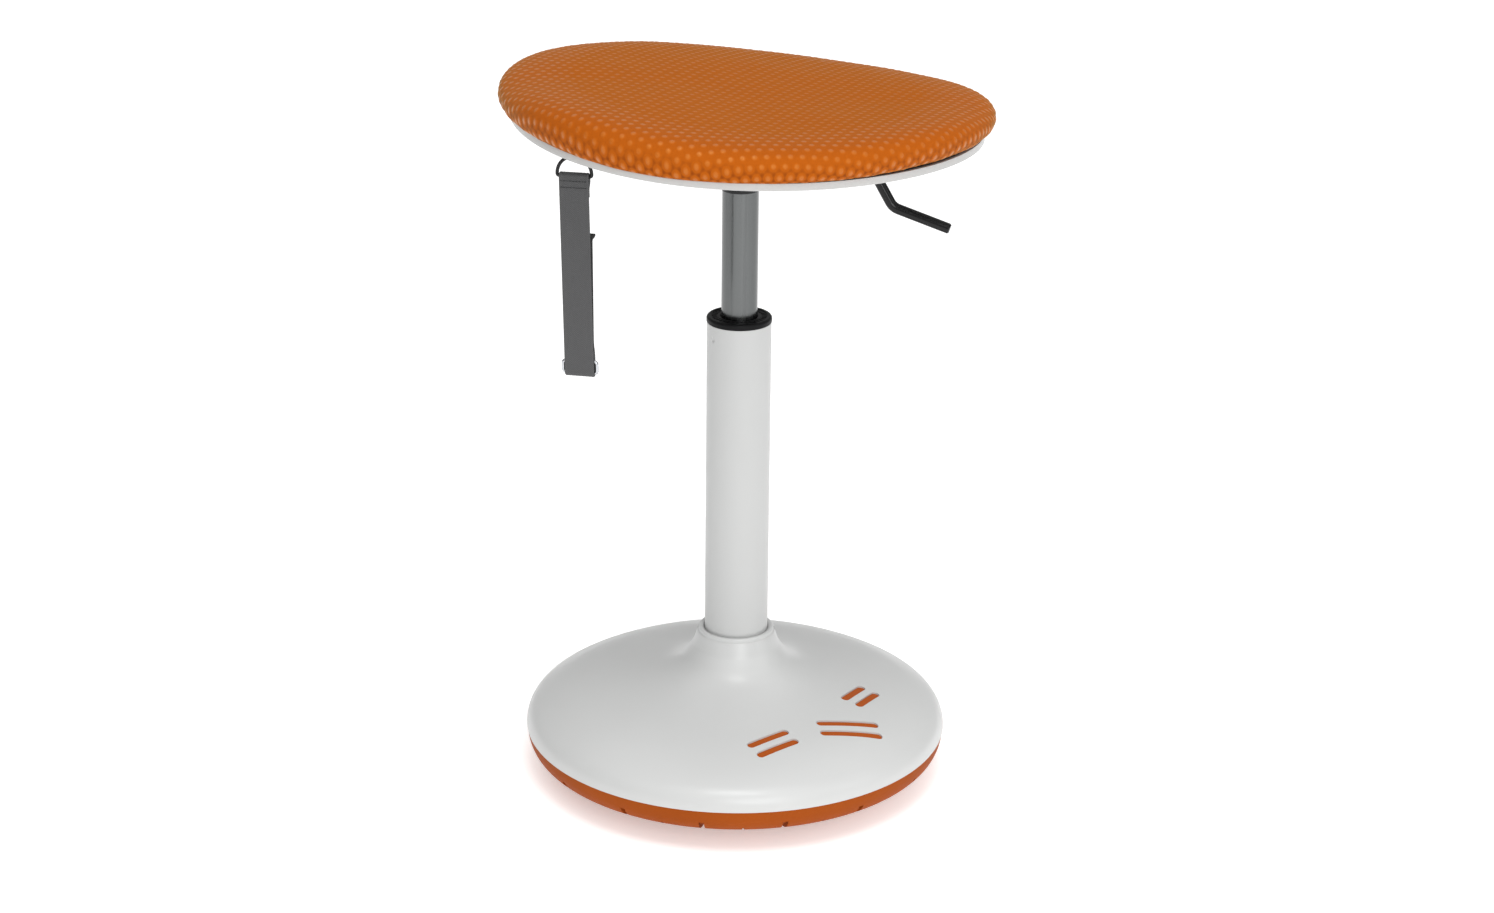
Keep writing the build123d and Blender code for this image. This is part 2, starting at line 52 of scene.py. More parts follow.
# ---------------------------------------------------------------- material helpers
class Mat:
    """Small helper for building node materials."""

    def __init__(self, name):
        self.m = bpy.data.materials.new(name)
        self.m.use_nodes = True
        self.nt = self.m.node_tree
        self.nt.nodes.clear()
        self.out = self.nt.nodes.new("ShaderNodeOutputMaterial")
        self.b = self.nt.nodes.new("ShaderNodeBsdfPrincipled")
        self.nt.links.new(self.b.outputs[0], self.out.inputs[0])
        self.tc = self.nt.nodes.new("ShaderNodeTexCoord")

    def set(self, **kw):
        for k, v in kw.items():
            sock = self.b.inputs[k.replace("_", " ")]
            sock.default_value = v
        return self

    def node(self, kind, **kw):
        n = self.nt.nodes.new(kind)
        for k, v in kw.items():
            if hasattr(n, k):
                setattr(n, k, v)
            else:
                n.inputs[k].default_value = v
        return n

    def link(self, a, b):
        self.nt.links.new(a, b)
        return a

    def noise(self, scale, detail=3.0, rough=0.55, vec=None, stretch=None):
        n = self.node("ShaderNodeTexNoise")
        n.inputs["Scale"].default_value = scale
        n.inputs["Detail"].default_value = detail
        n.inputs["Roughness"].default_value = rough
        src = vec or self.tc.outputs["Object"]
        if stretch:
            mp = self.node("ShaderNodeMapping")
            mp.inputs["Scale"].default_value = stretch
            self.link(src, mp.inputs["Vector"])
            src = mp.outputs[0]
        self.link(src, n.inputs["Vector"])
        return n.outputs["Fac"]

    def ramp(self, fac, stops):
        r = self.node("ShaderNodeValToRGB")
        el = r.color_ramp.elements
        while len(el) > 1:
            el.remove(el[-1])
        el[0].position, el[0].color = stops[0][0], (*stops[0][1], 1)
        for p, c in stops[1:]:
            e = el.new(p)
            e.color = (*c, 1)
        self.link(fac, r.inputs["Fac"])
        return r.outputs["Color"]

    def map(self, fac, a, b, c, d, clamp=True):
        r = self.node("ShaderNodeMapRange")
        r.clamp = clamp
        for k, v in zip(("From Min", "From Max", "To Min", "To Max"), (a, b, c, d)):
            r.inputs[k].default_value = v
        self.link(fac, r.inputs["Value"])
        return r.outputs["Result"]

    def math(self, op, a, b=None):
        n = self.node("ShaderNodeMath", operation=op)
        for i, x in enumerate((a, b)):
            if x is None:
                continue
            if hasattr(x, "node"):
                self.link(x, n.inputs[i])
            else:
                n.inputs[i].default_value = x
        return n.outputs[0]

    def mix(self, fac, a, b):
        n = self.node("ShaderNodeMix", data_type="RGBA")
        if hasattr(fac, "node"):
            self.link(fac, n.inputs[0])
        else:
            n.inputs[0].default_value = fac
        for i, x in ((6, a), (7, b)):
            if hasattr(x, "node"):
                self.link(x, n.inputs[i])
            else:
                n.inputs[i].default_value = (*x, 1)
        return n.outputs[2]

    def bump(self, height, strength, distance, prev=None):
        n = self.node("ShaderNodeBump")
        n.inputs["Strength"].default_value = strength
        n.inputs["Distance"].default_value = distance
        self.link(height, n.inputs["Height"])
        if prev is not None:
            self.link(prev, n.inputs["Normal"])
        return n.outputs[0]

    def col(self, sock):
        self.link(sock, self.b.inputs["Base Color"])

    def rough(self, sock):
        self.link(sock, self.b.inputs["Roughness"])

    def nrm(self, sock):
        self.link(sock, self.b.inputs["Normal"])


def lerp3(a, b, t):
    return tuple(x + (y - x) * t for x, y in zip(a, b))


def scaled(c, k):
    return tuple(x * k for x in c)


def plastic(name, colour, rough, grain=900.0, grain_h=0.00004, var=0.03, spec=0.5, coat=0.0, rvar=0.05, scuff=0.0):
    """Moulded plastic: fine spark-eroded grain, faint flow mottling and slightly uneven gloss."""
    m = Mat(name)
    big = m.noise(9.0, 3.0)
    c = m.ramp(big, [(0.3, scaled(colour, 1 - var)), (0.7, scaled(colour, 1 + var * 0.6))])
    if scuff:
        sc = m.noise(260.0, 6.0, 0.7, stretch=(1, 1, 0.25))
        c = m.mix(m.map(sc, 0.62, 0.74, 0.0, scuff), c, scaled(colour, 0.8))
    m.col(c)
    m.rough(m.map(m.noise(34.0, 4.0), 0.3, 0.7, rough - rvar, rough + rvar))
    g = m.noise(grain, 2.0, 0.5)
    lo = m.noise(60.0, 2.0, 0.5)
    n1 = m.bump(lo, 0.12, 0.0002)
    m.nrm(m.bump(g, 0.35, grain_h, n1))
    m.set(**{"Specular IOR Level": spec})
    if coat:
        m.set(**{"Coat Weight": coat, "Coat Roughness": 0.18})
    return m.m


def rubber(name, colour, rough=0.62):
    m = Mat(name)
    big = m.noise(14.0, 4.0)
    fine = m.noise(420.0, 4.0, 0.6)
    c = m.ramp(big, [(0.3, scaled(colour, 0.93)), (0.7, scaled(colour, 1.05))])
    dust = m.math("MULTIPLY", m.map(fine, 0.5, 0.8, 0.0, 0.35), m.map(big, 0.35, 0.7, 0.2, 1.0))
    m.col(m.mix(dust, c, lerp3(colour, (0.50, 0.26, 0.12), 0.25)))
    m.rough(m.map(fine, 0.3, 0.7, rough - 0.07, rough + 0.08))
    m.nrm(m.bump(fine, 0.3, 0.00012))
    m.set(**{"Specular IOR Level": 0.10})
    return m.m


def metal(name, colour, rough, turned=None, metallic=1.0, grain=500.0, var=0.06, aniso=0.0, painted_reflection_bands=0.0):
    """Metal: turned lines round Z (turned='z'), or a plain rolled surface."""
    m = Mat(name)
    m.set(Metallic=metallic)
    st = (1, 1, 1)
    if turned == "z":
        st = (0.02, 0.02, 1.0)
    elif turned == "drawn":
        st = (1.0, 1.0, 0.012)
    f = m.noise(grain, 4.0, 0.6, stretch=st)
    big = m.noise(20.0, 3.0)
    c = m.ramp(big, [(0.3, scaled(colour, 1 - var)), (0.7, scaled(colour, 1 + var))])
    c = m.mix(m.map(f, 0.35, 0.7, 0.0, 0.25), c, scaled(colour, 0.75))
    if painted_reflection_bands:
        # painted shade: colour bands along the tube by |object X| darken its sides, with darker vertical streaks as
        # painted reflections; nothing uses them now
        tc = m.node("ShaderNodeTexCoord")
        sx = m.node("ShaderNodeSeparateXYZ")
        m.link(tc.outputs["Object"], sx.inputs[0])
        painted_side_shade = m.map(m.math("ABSOLUTE", m.math("ADD", sx.outputs[0], 0.0005)), 0.0025, 0.0125, 0.0, painted_reflection_bands)
        painted_streaks = m.map(m.noise(160.0, 2.0, 0.5, stretch=(1.0, 1.0, 0.004)), 0.35, 0.65, 0.0, 0.30)
        c = m.mix(painted_side_shade, c, scaled(colour, 0.2))
        c = m.mix(painted_streaks, c, scaled(colour, 0.45))
    m.col(c)
    m.rough(m.map(f, 0.3, 0.7, rough - 0.04, rough + 0.06))
    m.nrm(m.bump(f, 0.18, 0.00003))
    if aniso:
        m.set(Anisotropic=aniso)
    return m.m


def painted(name, colour, rough, peel=0.00004, coat=0.25, var=0.02, spec=0.5):
    """Powder coat: soft orange peel over metal."""
    m = Mat(name)
    big = m.noise(11.0, 3.0)
    m.col(m.ramp(big, [(0.3, scaled(colour, 1 - var)), (0.7, scaled(colour, 1 + var * 0.5))]))
    peel_n = m.noise(520.0, 2.0, 0.45)
    m.rough(m.map(m.noise(45.0, 3.0), 0.3, 0.7, rough - 0.04, rough + 0.05))
    m.nrm(m.bump(peel_n, 0.3, peel))
    m.set(**{"Specular IOR Level": spec})
    m.set(**{"Coat Weight": coat, "Coat Roughness": 0.12})
    return m.m


def give(names, mat):
    for n in names:
        o = nodes[n]
        o.data.materials.clear()
        o.data.materials.append(mat)


WHITE = (0.545, 0.55, 0.545)
ORANGE_P = (0.37, 0.072, 0.006)
M_white = plastic("white_cover_plastic", WHITE, 0.36, grain=1100.0, grain_h=0.00003, var=0.012, coat=0.12, rvar=0.04)
M_shell = plastic("white_shell_plastic", (0.465, 0.465, 0.457), 0.34, grain=1200.0, grain_h=0.00003, var=0.012, coat=0.15)
M_column = painted("white_powder_coat", (0.50, 0.505, 0.50), 0.34, peel=0.00001, coat=0.1, var=0.005)
M_rub = rubber("orange_rubber", (0.32, 0.062, 0.003), 0.6)
M_inlay = plastic("orange_inlay_plastic", ORANGE_P, 0.45, var=0.05, spec=0.12)
M_dark = plastic("dark_structural_plastic", (0.03, 0.03, 0.032), 0.5, var=0.1, scuff=0.3)
M_black = plastic("black_moulded_plastic", (0.006, 0.006, 0.0065), 0.45, grain=1500.0, grain_h=0.00005, var=0.1, spec=0.12)
M_board = plastic("seat_board_plastic", (0.05, 0.05, 0.05), 0.6, var=0.15, scuff=0.2)
M_lever = painted("black_powder_coat", (0.002, 0.002, 0.0024), 0.20, peel=0.00002, coat=0.0, spec=0.3)
M_mech = painted("black_pressed_steel", (0.008, 0.008, 0.0085), 0.42, peel=0.00008, coat=0.0, spec=0.3)
M_iron = painted("painted_iron", (0.03, 0.03, 0.032), 0.55, peel=0.0003, coat=0.0, var=0.15)
M_zinc = metal("zinc_plated_steel", (0.58, 0.59, 0.60), 0.32, turned=None, grain=700.0)
M_steel = metal("machined_steel", (0.42, 0.43, 0.44), 0.30, turned="z", grain=1400.0)
M_cyl = metal("satin_grey_tube", (0.135, 0.140, 0.140), 0.24, turned="drawn", grain=420.0, var=0.03, metallic=1.0)
M_chrome = metal("hard_chrome", (0.74, 0.75, 0.77), 0.10, turned="z", grain=1500.0, var=0.02)
M_ringchrome = metal("polished_chrome_wire", (0.50, 0.51, 0.53), 0.16, grain=900.0, var=0.03)
M_ringblack = painted("black_wire_lacquer", (0.006, 0.006, 0.0065), 0.28, coat=0.0, spec=0.3)
M_rubblack = rubber("black_rubber", (0.018, 0.018, 0.018), 0.6)

give(["base_cover"], M_white)
give(["seat_shell"], M_shell)
give(["outer_tube"], M_column)
give(["rocker_foot"], M_rub)
give(["inlay_left", "inlay_centre", "inlay_right"], M_inlay)
give(["base_frame"], M_dark)
give(["guide_bush", "ball_cage", "rod_guide_seal", "lever_rocker", "strap_anchor"], M_black)
give(["seat_board"], M_board)
give(["lever_bar"], M_lever)
give(["mechanism_housing", "taper_hub"], M_mech)
give(["ballast_ring"], M_iron)
give(["ballast_screws", "cover_screws", "t_nuts", "seat_screws", "shell_screws", "anchor_screws", "pivot_pin"], M_zinc)
give(["column_socket", "lower_thrust_washer", "upper_thrust_washer", "piston", "rod_clip", "release_pin"], M_steel)
give(["gas_cylinder"], M_cyl)
give(["piston_rod", "bearing_balls"], M_chrome)
give(["strap_ring"], M_ringchrome)
give(["d_ring"], M_ringblack)
give(["bump_stop"], M_rubblack)


def soften(name, width, seg=2, angle=30):
    """Rounds the sharp edges of a kept CAD part with a small bevel, and smooths its shading."""
    o = nodes[name]
    w = o.modifiers.new("weld", "WELD")
    w.merge_threshold = 0.000002
    mod = o.modifiers.new("bevel", "BEVEL")
    mod.width = width
    mod.segments = seg
    mod.limit_method = "ANGLE"
    mod.angle_limit = math.radians(angle)
    mod.harden_normals = False
    return o


# ---------------------------------------------------------------- cushion
PITCH = 0.00845          # spacing of the raised dots
ANG0 = math.radians(8.0)  # direction of the dot rows


def hexwave(u, v):
    k = 2 * math.pi / (PITCH * math.sqrt(3) / 2)
    f = 0
    for i in range(3):
        a = ANG0 + math.radians(90 + 60 * i)
        f = f + np.cos(k * (u * math.cos(a) + v * math.sin(a)))
    return f   # -1.5 .. 3, round peaks on a hexagonal lattice


CU_H, CU_LEFT, CU_MID, CU_RIGHT = 0.030502, 0.008747, 0.008307, 0.010704   # crown, and height of the widest line
CU_P, CU_Q, CU_R = 2.438, 2.125, 0.18605
CU_C2, CU_C3, CU_C4 = 0.01406, 0.005877, 0.004859     # how the top curls along X
TUCK = ((-180, 4.6), (-165, 5.0), (-156, 6.0), (-147, 6.3), (-138, 6.1), (-126, 5.1), (-114, 4.3), (-104, 4.9),
        (-90, 5.6), (-75, 6.0), (-60, 6.6), (-48, 7.6), (-30, 7.6), (-15, 7.8), (0, 7.5))
TUCK_IN = ((-180, 0.0395), (-68, 0.0395), (-50, 0.0540), (0, 0.0560))


def around(th, table, scale=1.0, blur=6):
    """Looks up a table given against the angle, the same on both sides of X, and blurs it."""
    g = np.arange(-540, 541)
    a = -np.abs((g + 180) % 360 - 180)
    v = np.interp(a, [t[0] for t in table], [t[1] for t in table])
    k = np.exp(-0.5 * (np.arange(-24, 25) / blur) ** 2)
    v = np.convolve(v, k / k.sum(), mode="same")
    return np.interp(np.degrees(th), g, v) * scale


_t = np.linspace(0, 1, 320)
_b = np.linspace(0, math.pi / 2, 50)[1:]
_m = 0.0092


def profile(a, hb, he, wi):
    """a 0..1 runs over the top, 1..2 from the widest line under to the tuck."""
    top = np.clip(a, 0, 1) * math.pi / 2
    und = np.clip(a - 1, 0, 1) * math.pi / 2
    rho = np.sin(top) ** (2 / CU_P) - wi * (1 - np.cos(und))
    h = hb + (CU_H - hb) * np.cos(top) ** (2 / CU_Q) - (hb - he) * np.sin(und)
    return rho, h


# the front carries a taller roll: distance in from the widest line and height, from that line up to the middle
FRONT_HB = 0.0182
FRONT = np.array([(0, 18.2), (0.15, 19.8), (0.6, 21.6), (1.5, 23.6), (3.0, 25.5), (5.3, 27.3), (8.5, 28.9), (13, 30.1),
                  (19, 31.0), (28, 31.6), (40, 31.9), (56, 31.9), (78, 31.6), (105, 31.2), (140, 30.8), (168, 30.55), (186.05, 30.502)]) * 1e-3
FRONT[:, 0] = 1 - FRONT[:, 0] / CU_R
_q = np.concatenate([[0], np.cumsum(np.hypot(np.diff(FRONT[:, 0]) * CU_R, np.diff(FRONT[:, 1])))])


def smooth_curve(knots, values, g):
    """Catmull-Rom curve through the values, its ends held."""
    i = np.clip(np.searchsorted(knots, g, side="right") - 1, 0, len(knots) - 2)
    d = np.gradient(values, knots)
    w = knots[i + 1] - knots[i]
    t = (g - knots[i]) / w
    return ((2 * t ** 3 - 3 * t ** 2 + 1) * values[i] + (t ** 3 - 2 * t ** 2 + t) * w * d[i]
            + (-2 * t ** 3 + 3 * t ** 2) * values[i + 1] + (t ** 3 - t ** 2) * w * d[i + 1])


_g = np.linspace(0, 1, 1500) ** 1.5 * _q[-1]
_fr, _fh = smooth_curve(_q, FRONT[:, 0], _g)[::-1], smooth_curve(_q, FRONT[:, 1], _g)[::-1]
_fs = np.concatenate([[0], np.cumsum(np.hypot(np.diff(_fr) * CU_R, np.diff(_fh)))])
TOP_F = _fs[-1]
_pa = np.linspace(0, 1, 900) ** 1.3
_r, _h = profile(_pa, _m, 0.0058, 0.042)
_ps = np.concatenate([[0], np.cumsum(np.hypot(np.diff(_r) * CU_R, np.diff(_h)))])
TOP_B = _ps[-1]
UND_B, UND_F = 0.0092, 0.0142      # length of cloth from the widest line to the tuck


def front_part(th):
    t = np.clip((-np.sin(th) - 0.10) / 0.85, 0, 1)
    return t * t * (3 - 2 * t)


def s_break(th):
    f = front_part(th)
    return TOP_B + (TOP_F - TOP_B) * f


def s_end(th):
    return s_break(th) + UND_B + (UND_F - UND_B) * front_part(th)


def seat_z(x, h):
    u = x / 0.180
    return SEAT_Z + WAVE1 * u + WAVE2 * u * u + h + (CU_C2 * u * u + CU_C3 * (u ** 3 - u) + CU_C4 * (u ** 4 - u * u)) * (h / 0.029)


def tuck_height(th):
    u = CU_R * 0.96 * np.cos(th) / 0.180
    k = (CU_C2 * u * u + CU_C3 * (u ** 3 - u) + CU_C4 * (u ** 4 - u * u)) / 0.029
    return around(th, TUCK, 1e-3) / (1 + k)


def cushion_point(s, th):
    c = np.cos(th)
    hb = np.where(c < 0, CU_MID + (CU_LEFT - CU_MID) * np.abs(c) ** 1.5, CU_MID + (CU_RIGHT - CU_MID) * np.abs(c) ** 1.5)
    he = np.minimum(tuck_height(th), hb - 0.0006)
    f, sb = front_part(th), s_break(th)
    und = np.clip((s - sb) / (s_end(th) - sb), 0, 1)
    k = np.clip(s / sb, 0, 1)
    a = np.where(und > 0, 1 + und, np.interp(k, _ps / TOP_B, _pa))
    wi = around(th, TUCK_IN)
    rho, h = profile(a, hb, he, wi)
    rho_f = np.interp(k, _fs / TOP_F, _fr) - wi * (1 - np.cos(und * math.pi / 2))
    h_f = np.interp(k, _fs / TOP_F, _fh) - (FRONT_HB - he) * np.sin(und * math.pi / 2)
    rho, h = rho + (rho_f - rho) * f, h + (h_f - h) * f
    x = CU_R * rho * np.cos(th)
    y = CU_R * (1 - EGG * np.cos(th)) * rho * np.sin(th)
    return np.stack([x + SEAT_X, y, seat_z(x, h)], -1)


def build_cushion():
    N = 400
    g = np.linspace(-1, 1, N)
    X, Y = np.meshgrid(g, g, indexing="ij")
    U = X * np.sqrt(1 - Y * Y / 2)
    V = Y * np.sqrt(1 - X * X / 2)
    R = np.sqrt(U * U + V * V)
    th = np.arctan2(V, U)
    send = s_end(th)
    s = R * send
    P = cushion_point(s, th).reshape(-1, 3)
    # surface normal from finite differences of the smooth form
    e = 1e-4
    A = cushion_point(np.clip(s + e, 0, send), th) - cushion_point(np.clip(s - e, 0, send), th)
    B = cushion_point(np.maximum(s, 1e-3), th + 1e-3) - cushion_point(np.maximum(s, 1e-3), th - 1e-3)
    Nn = np.cross(A, B)
    Nn /= np.linalg.norm(Nn, axis=-1)[..., None] + 1e-12
    Nn[s < 1e-3] = (0, 0, 1)
    uu, vv = s * np.cos(th), s * np.sin(th)
    f = hexwave(uu, vv)
    dot = np.clip((f + 0.1) / 3.1, 0, 1) ** 0.8
    rim = send - s
    edge = np.clip(rim / 0.006, 0, 1)
    amp = (0.00011 + 0.00026 * np.clip((0.075 - rim) / 0.040, 0, 1)) * edge
    # gentle unevenness of hand-stretched upholstery
    soft = np.array([noise.noise(Vector((a * 18, b * 18, 0.3))) for a, b in zip(uu.ravel(), vv.ravel())]).reshape(uu.shape)
    pull = np.cos(th * 37 + 3 * np.sin(th * 5)) * np.exp(-(rim / 0.010) ** 2) * 0.00035
    D = amp * (dot - 0.35) + 0.0006 * soft * np.clip(rim / 0.02, 0, 1) + pull * edge
    P = (cushion_point(s, th) + Nn * D[..., None])
    verts = P.reshape(-1, 3)
    idx = np.arange(N * N).reshape(N, N)
    faces = np.stack([idx[:-1, :-1], idx[1:, :-1], idx[1:, 1:], idx[:-1, 1:]], -1).reshape(-1, 4)
    # boundary loop, counter-clockwise
    loop = list(idx[:, 0][:-1]) + list(idx[-1, :][:-1]) + list(idx[::-1, -1][:-1]) + list(idx[0, ::-1][:-1])
    vl = verts.tolist()
    uvs = np.stack([uu.ravel(), vv.ravel()], -1).tolist()
    rims = np.stack([rim.ravel(), th.ravel()], -1).tolist()
    fl = faces.tolist()
    prev = loop
    Ur, Vr = U.ravel(), V.ravel()
    # inside the edge: up the outer face of the shell, over its lip and in to the board
    for k, (rr, hh) in enumerate(((0.9595, None), (0.9595, LIP_H + 0.00015), (0.930, LIP_H + 0.0003), (0.905, LIP_H + 0.0022), (0.80, LIP_H + 0.0030))):
        cur = []
        for i in loop:
            t = math.atan2(Vr[i], Ur[i])
            r_ = min(rr, 1 - float(around(np.array(t), TUCK_IN)) - 0.0005) if k < 2 else rr
            x = CU_R * r_ * math.cos(t)
            y = CU_R * (1 - EGG * math.cos(t)) * r_ * math.sin(t)
            u_ = x / 0.180
            zr = SEAT_Z + WAVE1 * u_ + WAVE2 * u_ * u_
            z = max(vl[i][2], zr + LIP_H * 0.0) + 0.0004 if hh is None else max(zr + hh, vl[i][2] + 0.0006) if k == 1 else max(zr + hh + 0.0006, vl[i][2] + 0.0008)
            cur.append(len(vl))
            vl.append([x + SEAT_X, y, z])
            sx = float(s_end(np.array(t))) + 0.004 * (k + 1)
            uvs.append([sx * math.cos(t), sx * math.sin(t)])
            rims.append([0.0, t])
        n = len(loop)
        for i in range(n):
            j = (i + 1) % n
            fl.append([prev[i], cur[i], cur[j], prev[j]])
        prev = cur
    fl.append(prev[::-1])
    me = bpy.data.meshes.new("seat_cushion")
    me.from_pydata(vl, [], fl)
    me.update()
    ntop = len(faces)
    me.polygons.foreach_set("material_index", np.array([0 if i < ntop + len(loop) else 1 for i in range(len(fl))], np.int32))
    uvl = me.uv_layers.new(name="cloth")
    li = np.zeros(len(me.loops), int)
    me.loops.foreach_get("vertex_index", li)
    uvl.data.foreach_set("uv", np.array(uvs, np.float32)[li].ravel())
    uv2 = me.uv_layers.new(name="rim")
    uv2.data.foreach_set("uv", np.array(rims, np.float32)[li].ravel())
    bm = bmesh.new()
    bm.from_mesh(me)
    bmesh.ops.recalc_face_normals(bm, faces=bm.faces)
    bm.to_mesh(me)
    bm.free()
    for p in me.polygons:
        p.use_smooth = True
    o = bpy.data.objects.new("seat_cushion", me)
    bpy.context.scene.collection.objects.link(o)
    return o


def fabric_material():
    m = Mat("orange_embossed_mesh")
    uv = m.node("ShaderNodeUVMap")
    uv.uv_map = "cloth"
    k = 2 * math.pi / (PITCH * math.sqrt(3) / 2)
    total = None
    for i in range(3):
        a = ANG0 + math.radians(90 + 60 * i)
        d = m.node("ShaderNodeVectorMath", operation="DOT_PRODUCT")
        m.link(uv.outputs[0], d.inputs[0])
        d.inputs[1].default_value = (math.cos(a) * k, math.sin(a) * k, 0)
        c = m.math("COSINE", d.outputs["Value"])
        total = c if total is None else m.math("ADD", total, c)
    dots = m.map(total, -0.4, 2.6, 0.0, 1.0)
    # fine knit inside the embossing
    sp = m.node("ShaderNodeSeparateXYZ")
    m.link(uv.outputs[0], sp.inputs[0])
    kx = m.math("SINE", m.math("MULTIPLY", sp.outputs[0], 2 * math.pi / 0.00085))
    ky = m.math("SINE", m.math("MULTIPLY", sp.outputs[1], 2 * math.pi / 0.00105))
    knit = m.math("MULTIPLY", kx, ky)
    fibre = m.noise(2600.0, 3.0, 0.6, vec=uv.outputs[0])
    blot = m.noise(26.0, 4.0, 0.55, vec=uv.outputs[0])
    base = m.ramp(dots, [(0.0, (0.400, 0.087, 0.0055)), (0.35, (0.415, 0.092, 0.0058)), (1.0, (0.440, 0.103, 0.0066))])
    # painted shade: the hollows between the dots are darker along the tuck, under the roll
    uvr = m.node("ShaderNodeUVMap")
    uvr.uv_map = "rim"
    rd = m.node("ShaderNodeSeparateXYZ")
    m.link(uvr.outputs[0], rd.inputs[0])
    low = m.map(rd.outputs[0], 0.018, 0.009, 0.0, 1.0)
    roll = m.map(rd.outputs[0], 0.070, 0.035, 0.08, 1.0)
    # the dots along the roll are a little glossier
    roll = m.math("MULTIPLY", roll, 0.85)
    # painted shade in the hollows between the dots near the tuck
    pit = m.math("MULTIPLY", low, m.map(total, -1.5, -0.6, 0.75, 0.0))
    base = m.mix(pit, base, (0.16, 0.028, 0.003))
    base = m.mix(m.map(blot, 0.3, 0.7, 0.0, 0.16), base, (0.36, 0.082, 0.008))
    base = m.mix(m.map(knit, -1, 1, 0.0, 0.14), base, (0.26, 0.055, 0.004))
    m.col(base)
    r = m.math("ADD", m.map(dots, 0.3, 1.0, 0.66, 0.31), m.map(fibre, 0.3, 0.7, -0.05, 0.06))
    m.rough(r)
    m.link(m.math("MULTIPLY", m.map(dots, 0.35, 1.0, 0.06, 1.0), roll), m.b.inputs["Specular IOR Level"])
    n1 = m.bump(dots, 0.20, 0.0004)
    n2 = m.bump(knit, 0.35, 0.00010, n1)
    m.nrm(m.bump(fibre, 0.2, 0.00006, n2))
    m.set(**{"Sheen Weight": 0.13, "Sheen Roughness": 0.35, "Sheen Tint": (0.47, 0.96, 0.38, 1), "Specular Tint": (1.0, 0.60, 0.22, 1)})
    return m.m


cushion = build_cushion()
cushion.data.materials.append(fabric_material())
cushion.data.materials.append(rubber("black_underlay", (0.010, 0.009, 0.008), 0.85))
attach(cushion, "seat")
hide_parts("seat_cover", "seat_foam")


# ---------------------------------------------------------------- strap
HANG = (Matrix.Translation((RING_X, RING_Y, RING_TOP)) @ Matrix.Rotation(RING_YAW, 4, "Z")
        @ Matrix.Rotation(RING_ROLL, 4, "Y") @ Matrix.Translation((0, 0, -RING_TOP)))


def strap_line():
    cr = RING_WIRE + 0.0001 + STRAP_T / 2
    sb = -cr + STRAP_T + 0.00003
    pts = []

    def add(a, b, n):
        for i in range(n):
            t = i / n
            pts.append((a[0] + (b[0] - a[0]) * t, a[1] + (b[1] - a[1]) * t))

    def arc(z, a0, a1, n):
        for i in range(n):
            a = a0 + (a1 - a0) * i / n
            pts.append((cr * math.cos(a), z + cr * math.sin(a)))

    add((sb, TAIL_Z), (sb, 0.393), 60)
    # smooth S from the lying tail out round the ring
    for i in range(14):
        t = i / 14
        w = t * t * (3 - 2 * t)
        pts.append((sb + (cr - sb) * w, 0.393 + (0.3785 - 0.393) * t))
    add((cr, 0.3785), (cr, STRAP_BAR_Z), 8)
    arc(STRAP_BAR_Z, 0, -math.pi, 14)
    add((-cr, STRAP_BAR_Z), (-cr, RING_BAR), 110)
    arc(RING_BAR, math.pi, 0, 14)
    add((cr, RING_BAR), (cr, 0.5132), 3)
    for i in range(8):
        t = i / 8
        w = t * t * (3 - 2 * t)
        pts.append((cr + (sb - cr) * w, 0.5132 + (0.5070 - 0.5132) * t))
    add((sb, 0.5070), (sb, 0.5015), 5)
    pts.append((sb, 0.5015))
    return np.array(pts)


